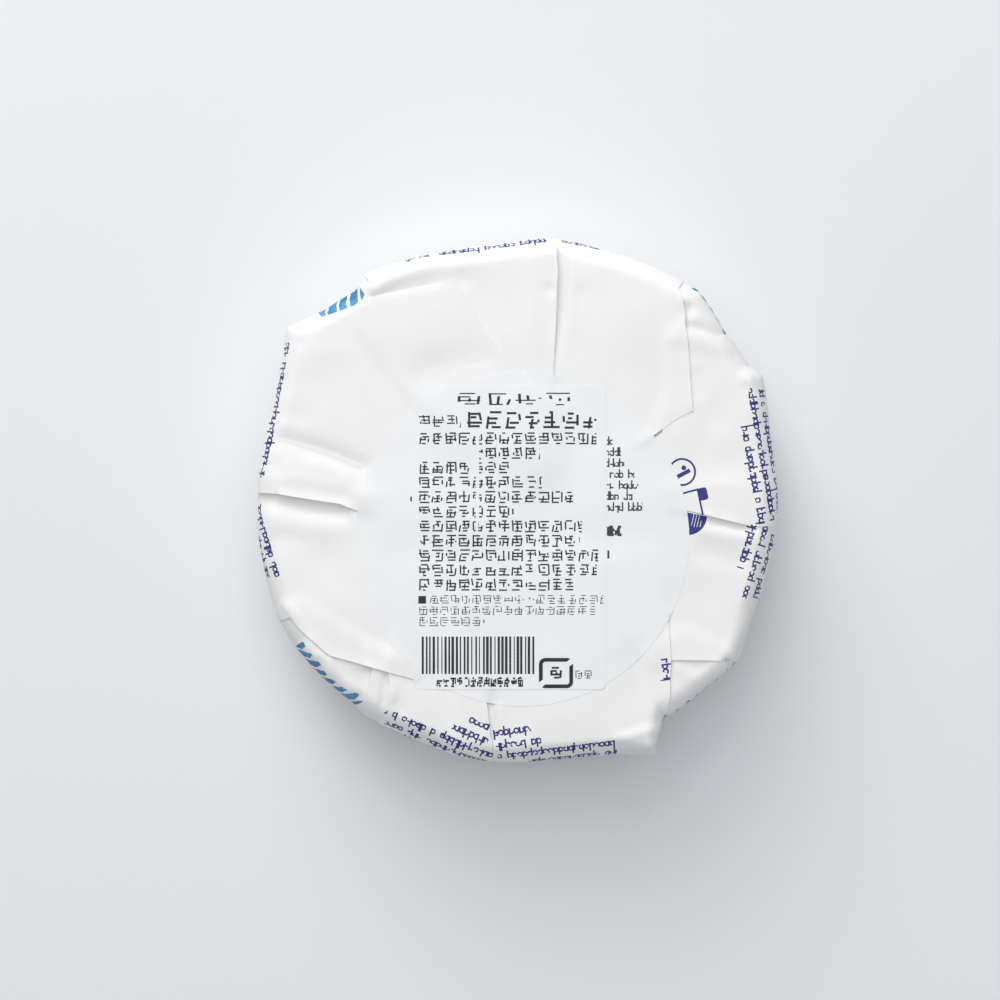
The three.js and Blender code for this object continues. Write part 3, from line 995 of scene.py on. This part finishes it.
# Lines of small type on the flaps: where a block starts, its direction, how far above that its first line's
# foot lies, and each line's start and end.
X_HEIGHT = 1.42
LINE_PITCH = 2.75
TYPE_BLOCKS = (
    ((50.1, 23.6), -79.5, 0.9, ((0.5, 27.0), (0.0, 28.0), (7.4, 28.2))),
    ((53.6, -6.0), -107.5, 0.9, ((0.5, 15.0), (0.0, 15.6), (0.6, 10.0))),
    ((-54.2, 4.7), 79.3, -0.6, ((0.0, 29.0),)),
    ((-50.2, -17.2), 109.2, 2.1, ((1.5, 12.0), (0.0, 17.0))),
    ((-4.4, -54.5), 156.4, 4.85,
     ((2.2, 23.5), (1.4, 24.5), (0.0, 25.4), (3.3, 11.3), (4.2, 8.7))),
    ((21.5, -51.0), 187.8, 4.85,
     ((2.0, 18.0), (0.7, 19.6), (0.0, 25.9), (15.5, 25.9), (18, 25.9))),
    ((-25.1, 50.9), 6.8, 0.1, ((0.0, 31.5),)),
    ((8.4, 54.8), -8.3, 0.5, ((0.0, 12.4),)),
    ((30.5, -29.6), -82.0, -0.6, ((0.0, 7.8),)),
)


def satin(graph, place_3d, colour, size, depth, low, high, specular):
    """A coated surface with fine unevenness. Its roughness lies between low and high."""
    fine = graph.noise(place_3d, size, 4.0, 0.6)
    broad = graph.noise(place_3d, 0.3, 2.0)
    roughness = graph.ramp(broad, ((0.3, (low,) * 3), (0.7, (high,) * 3)))
    graph.shader.inputs["Specular IOR Level"].default_value = specular
    return graph.finish(colour, roughness, graph.bump(fine, depth, 0.5))


def paper_material(name, printed):
    """Thin satin paper, with its fibre."""
    graph = Graph(name)
    place_3d = graph.position()
    cloud = graph.noise(place_3d, 0.09, 3.0, 0.6)
    fibre = graph.noise(place_3d, 3.2, 4.0, 0.65)
    colour = graph.ramp(cloud, ((0.3, (0.862, 0.853, 0.844)), (0.7, (0.88, 0.871, 0.861))))
    colour = graph.mix(graph.ramp(fibre, ((0.35, (0.04,) * 3), (0.65, (0, 0, 0)))), colour, (0.7, 0.7, 0.7))
    return satin(graph, place_3d, printed(graph, colour), 1.1, 0.00006, 0.5, 0.62, 0.35)


def flap_print(graph, colour):
    x, y = graph.sheet_place()
    blocks = []
    for number, (start, degrees, above, lines) in enumerate(TYPE_BLOCKS):
        along, up = turned(x, y, start, degrees)
        down = up * -1 + (above + X_HEIGHT)
        row, share = cells(down, LINE_PITCH)
        inside = in_lines(graph, along, row, [(0, *ends) for ends in lines])
        foot = share * -LINE_PITCH + LINE_PITCH * 0.75
        blocks.append((inside, along, foot, row + number * 10.0))
    inside, along, up, row = gather(blocks)
    ink = scribbled_letters(graph, along / X_HEIGHT, up / X_HEIGHT, row) * inside
    colour = graph.mix(ink, colour, VIOLET_INK)
    return graph.mix(plain_mark(x, y), colour, VIOLET_INK)


# The parts of the plain mark: where each one's middle or corner lies on the sheet.
MARK_RING = (34.2, 5.8)
MARK_LETTER = (34.0, 5.6)
MARK_FRAME = (37.4, 2.2)
MARK_DISC = (35.3, -3.2)


def plain_mark(x, y):
    """A mark of plain shapes: a ring with a bar and a dot, a frame with a tab, and a quarter of a disc."""
    ring = (length(x - MARK_RING[0], y - MARK_RING[1]) - 2.7).size() < 0.21
    along, over = turned(x, y, MARK_LETTER, 28.0)
    dot = length(along - 1.0, over - 0.7) < 0.5
    inner = dot.either((along.size() < 1.9) * ((over + 0.35).size() < 0.42))
    down, right = turned(x, y, MARK_FRAME, -78.2)
    side = (right.size() < 0.2) * (down > -0.2) * (down < 5.4)
    top = ((down + right * 0.06).size() < 0.2) * (right > -3.4) * (right < 0.1)
    tab = rounded_box(down - 1.15, right - 0.85, 0.75, 0.45) < 0.55
    right, up = x - MARK_DISC[0], y - MARK_DISC[1]
    quarter = (length(right, up) < 4.1) * (right > 0.0) * (up + right * 0.2 < 0.6)
    slots = ((right * 1.6 - up * 0.4).fraction() < 0.2) * (up > -2.4) * (right > 0.8) * (right < 2.9)
    return any_of(ring, inner, side, top, tab, quarter * (slots < 0.5))


def rounded_box(x, y, half_x, half_y):
    """The distance from a box."""
    return length((x.size() - half_x).either(0.0), (y.size() - half_y).either(0.0))


# Where the dabs show, in degrees from +X.
DABBED_CORNERS = ((36.0, 51.0), (126.5, 136.8), (-146.6, -127.5), (-57.5, -36.0))
DAB_PITCH = 2.7  # degrees from dab to dab


def front_print(graph, colour):
    """Slanted brush dabs at the four corners of the wheel's side, in two tones of blue."""
    x, y = graph.sheet_place()
    past, _ = graph.sheet_place("past_rim")
    angle = y.of("ARCTAN2", x) * (180 / math.pi)
    edge = graph.noise(graph.vector(angle, past), 0.7, 3.0, 0.65)
    slanted = angle + past * 0.5 + edge * 1.3
    number, across = cells(slanted, DAB_PITCH)
    first, second, third = graph.random(number, 3.0)
    across = (across - 0.5).size()
    low = first * 0.8 + (x > 0.0) * 2.0 + (y > 0.0) * ((x > 0.0) * 2.3 - 1.8) + edge * 1.2 + 0.7
    broad = third * 0.08 + 0.34 - (x > 0.0) * 0.07 - (y < 0.0) * (low + 1.4 - past).either(0.0) * 0.14
    dabs = (across < broad) * (past > low) * (past < second * -2.0 + 11.5)
    corners = [angle.between(start, end) for start, end in DABBED_CORNERS]
    dabs = dabs * any_of(*corners)
    tone = graph.noise(graph.vector(angle, past, 5.0), 0.25, 2.0)
    blue = graph.ramp(tone, ((0.35, BLUE_INKS[0]), (0.6, BLUE_INKS[1])))
    return graph.mix(dabs, colour, blue)


def coated_material(name, tint, printed):
    graph = Graph(name)
    place_3d = graph.position()
    cloud = graph.noise(place_3d, 0.2, 2.0)
    colour = graph.ramp(cloud, ((0.3, tuple(c * 0.99 for c in tint)), (0.7, tint)))
    return satin(graph, place_3d, printed(graph, colour), 2.0, 0.00002, 0.38, 0.46, 0.4)


# The lines of type on the round sticker, to the right of the label: where each ends.
STICKER_TYPE_AT = (18.6, 13.3)
STICKER_LINE_PITCH = 2.28
STICKER_LINE_ENDS = (1.2, 2.9, 3.6, 5.7, 6.5, 6.8, 7.3)
STICKER_X_HEIGHT = 1.25
BOLD_BELOW = 18.6  # from the first line's top to the two bold signs
BOLD_HEIGHT = 2.2
BOLD_PITCH = 1.6


def sticker_print(graph, colour):
    x, y = graph.sheet_place()
    along, down = x - STICKER_TYPE_AT[0], (y - STICKER_TYPE_AT[1]) * -1
    row, share = cells(down, STICKER_LINE_PITCH)
    inside = in_lines(graph, along, row, [(end, 0, 0) for end in STICKER_LINE_ENDS])
    up = share * -STICKER_LINE_PITCH + STICKER_LINE_PITCH * 0.85
    ink = scribbled_letters(graph, (along + 0.4) / STICKER_X_HEIGHT, up / STICKER_X_HEIGHT, row) * inside
    low = down - BOLD_BELOW
    column, right = cells(along, BOLD_PITCH)
    bold = scribbled_signs(graph, right, low / BOLD_HEIGHT, column, 31.0, 0.16)
    bold = bold * low.between(0.0, BOLD_HEIGHT) * along.between(-0.4, 2 * BOLD_PITCH)
    tiny = ((low - 6.0).size() < 0.85) * ((along - 0.3).size() < 0.22)
    left = ((x + 22.0).size() < 0.18) * ((y - 0.2).size() < 0.5)
    return graph.mix(any_of(ink, bold, tiny, left), colour, GREY_INK)


# The label's type, in bands: how far each lies from the label's top and from its left side, the pitch of its
# lines and of its signs, half a stroke's width as a share of a sign, and each line's end and the start and
# end of what follows.
LABEL_BANDS = (
    (1.3, 8.3, 3.3, 6.3, 0.045, ((25.4, 0, 0),)),
    (6.0, 1.0, 3.1, 2.85, 0.05, ((8.9, 0, 0),)),
    (5.2, 10.8, 4.3, 3.98, 0.062, ((27.8, 0, 0),)),
    (9.6, 1.0, 3.03, 2.75, 0.058,
     ((12.0, 12.7, 37.0), (0, 12.7, 25.3), (11.2, 12.7, 19.1), (12, 12.7, 25.7), (12, 12.7, 32.2),
               (12, 12.7, 19.9), (12, 12.5, 34.0), (33.6, 0, 0), (37.4, 0, 0), (37.1, 0, 0), (32.2, 0, 0))),
    (43.3, 3.3, 2.32, 2.2, 0.04, ((36.2, 0, 0),)),
    (45.6, 1.0, 2.3, 2.2, 0.04,
     ((36.7, 0, 0), (13.9, 0, 0))),
    (60.4, 4.8, 2.4, 1.4, 0.095, ((18.0, 0, 0),)),
    (58.9, 33.4, 2.2, 1.95, 0.05, ((3.9, 0, 0),)),
)


BAR_PITCH = 0.79
RING_MIDDLE = (29.65, 59.6)


def label_print(graph, colour):
    x, y = graph.sheet_place()
    right, down = x - label_low[0], (y - label_high[1]) * -1
    blocks = []
    for number, (top, start, line_pitch, sign_pitch, stroke, lines) in enumerate(LABEL_BANDS):
        along, below = right - start, down - top
        (row, deep), (column, across) = cells(below, line_pitch), cells(along, sign_pitch)
        deep = deep / 0.9
        inside = in_lines(graph, along, row, lines) * (deep < 1.0)
        blocks.append((inside, across, deep, column + number * 50.0, row, inside * stroke))
    inside, across, deep, column, row, stroke = gather(blocks)
    ink = scribbled_signs(graph, across, deep, column, row, stroke) * inside

    number, share = cells(right, BAR_PITCH)
    bar_width, _, bar_start = graph.random(number, 5.0)
    beside = (share - (bar_start * 0.2 + 0.4)).size() * 2.0
    bars = (beside < bar_width * 0.5 + 0.25) * right.between(1.58, 25.28) * down.between(52.0, 59.8)
    square = right.between(1.1, 2.7) * down.between(43.6, 45.2)
    from_ring, below_ring = right - RING_MIDDLE[0], down - RING_MIDDLE[1]
    ring = (rounded_box(from_ring, below_ring, 2.2, 1.8) - 0.95).size() < 0.4
    ring = ring * ((from_ring * 0.75 + below_ring).size() > 0.7)
    signs = scribbled_signs(graph, (right - 28.1) / 3.0, (down - 58.2) / 2.8, right * 0.0, down * 0.0, 0.075)
    signs = signs * right.between(28.1, 31.1) * down.between(58.2, 61.0)
    return graph.mix(any_of(ink, bars, square, ring, signs), colour, BLACK_INK)


def rind_material():
    graph = Graph("bloomy_rind")
    place_3d = graph.position()
    bloom = graph.noise(place_3d, 0.25, 6.0, 0.6)
    tones = ((0.3, (0.74, 0.62, 0.42)), (0.52, (0.86, 0.8, 0.68)), (0.7, (0.9, 0.88, 0.82)))
    colour = graph.ramp(bloom, tones)
    fuzz = graph.noise(place_3d, 2.4, 6.0, 0.7)
    normal = graph.bump(fuzz, 0.00025, 0.7)
    graph.shader.inputs["Sheen Weight"].default_value = 0.3
    graph.shader.inputs["Subsurface Weight"].default_value = 0.1
    graph.shader.inputs["Subsurface Radius"].default_value = (0.004, 0.003, 0.002)
    return graph.finish(colour, 0.85, normal)


def floor_material():
    graph = Graph("pale_floor")
    place_3d = graph.position()
    cloud = graph.noise(place_3d, 0.004, 2.0)
    colour = graph.ramp(cloud, ((0.3, (0.797, 0.808, 0.827)), (0.7, (0.807, 0.818, 0.837))))
    return graph.finish(colour, 0.9, graph.bump(graph.noise(place_3d, 0.8), 0.00002, 0.1))


# -------- the scene

SHARP_FROM = math.radians(50)  # edges of paper that turn more than this stay sharp

made_wrapper = wrapper()
made_wrapper.data.materials.append(paper_material("wrapping_paper_back", flap_print))
made_wrapper.data.materials.append(paper_material("wrapping_paper_front", front_print))
made_sticker = stuck("round_sticker_sheet", STICKER_OUTLINE, sticker_rise)
made_sticker.data.materials.append(coated_material("sticker_paper", (0.85, 0.858, 0.866), sticker_print))
made_label = stuck("rectangular_label_sheet", LABEL_OUTLINE, label_rise)
made_label.data.materials.append(coated_material("label_paper", (0.85, 0.857, 0.866), label_print))
for paper in (made_wrapper, made_sticker, made_label):
    paper.data.set_sharp_from_angle(angle=SHARP_FROM)
made_cheese = cheese()
made_cheese.data.materials.append(rind_material())

for piece, node, slot in (
    (made_wrapper, "paper_wrapper", "wrapping_paper"),
    (made_sticker, "round_sticker", "sticker_paper"),
    (made_label, "rectangular_label", "label_paper"),
    (made_cheese, "cheese_wheel", "cheese_rind"),
):
    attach(piece, "root")
    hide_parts(node)

bpy.ops.mesh.primitive_plane_add(size=4, location=(0, 0, -0.0001))
floor = bpy.context.object
floor.name = "floor"
floor.data.materials.append(floor_material())


def window(name, place_m, size, power, colour):
    """A round light of this size in metres, turned to the wheel."""
    data = bpy.data.lights.new(name, "AREA")
    data.shape = "DISK"
    data.size = size
    data.energy = power
    data.color = colour
    light = bpy.data.objects.new(name, data)
    light.location = place_m
    to_wheel = Vector((0, 0, 0)) - Vector(place_m)
    light.rotation_euler = to_wheel.to_track_quat("-Z", "Y").to_euler()
    bpy.context.scene.collection.objects.link(light)


WARM_WHITE = (1.0, 0.996, 0.988)
WHITE = (1.0, 1.0, 1.0)
SKY = (0.93, 0.965, 1.0, 1.0)
SKY_STRENGTH = 0.35

window("high_window", (-0.30, 1.0, 0.85), 1.2, 7.2, WARM_WHITE)
window("low_window", (-0.35, 0.9, 0.5), 0.6, 3.4, WARM_WHITE)
window("ceiling_bounce", (0.0, 0.2, 1.2), 1.2, 5.4, WHITE)
world = bpy.data.worlds.new("studio")
bpy.context.scene.world = world
world.use_nodes = True
background = world.node_tree.nodes["Background"]
background.inputs["Color"].default_value = SKY
background.inputs["Strength"].default_value = SKY_STRENGTH

# The camera looks straight down, from a little to the left of the wheel's middle.
CAMERA_PLACE_M = (-0.00357, 0, 0.65)
camera_data = bpy.data.cameras.new("camera")
camera_data.sensor_width = 36
camera_data.lens = 108
camera = bpy.data.objects.new("camera", camera_data)
camera.location = CAMERA_PLACE_M
bpy.context.scene.collection.objects.link(camera)
bpy.context.scene.camera = camera
bpy.context.scene.view_settings.view_transform = "Standard"
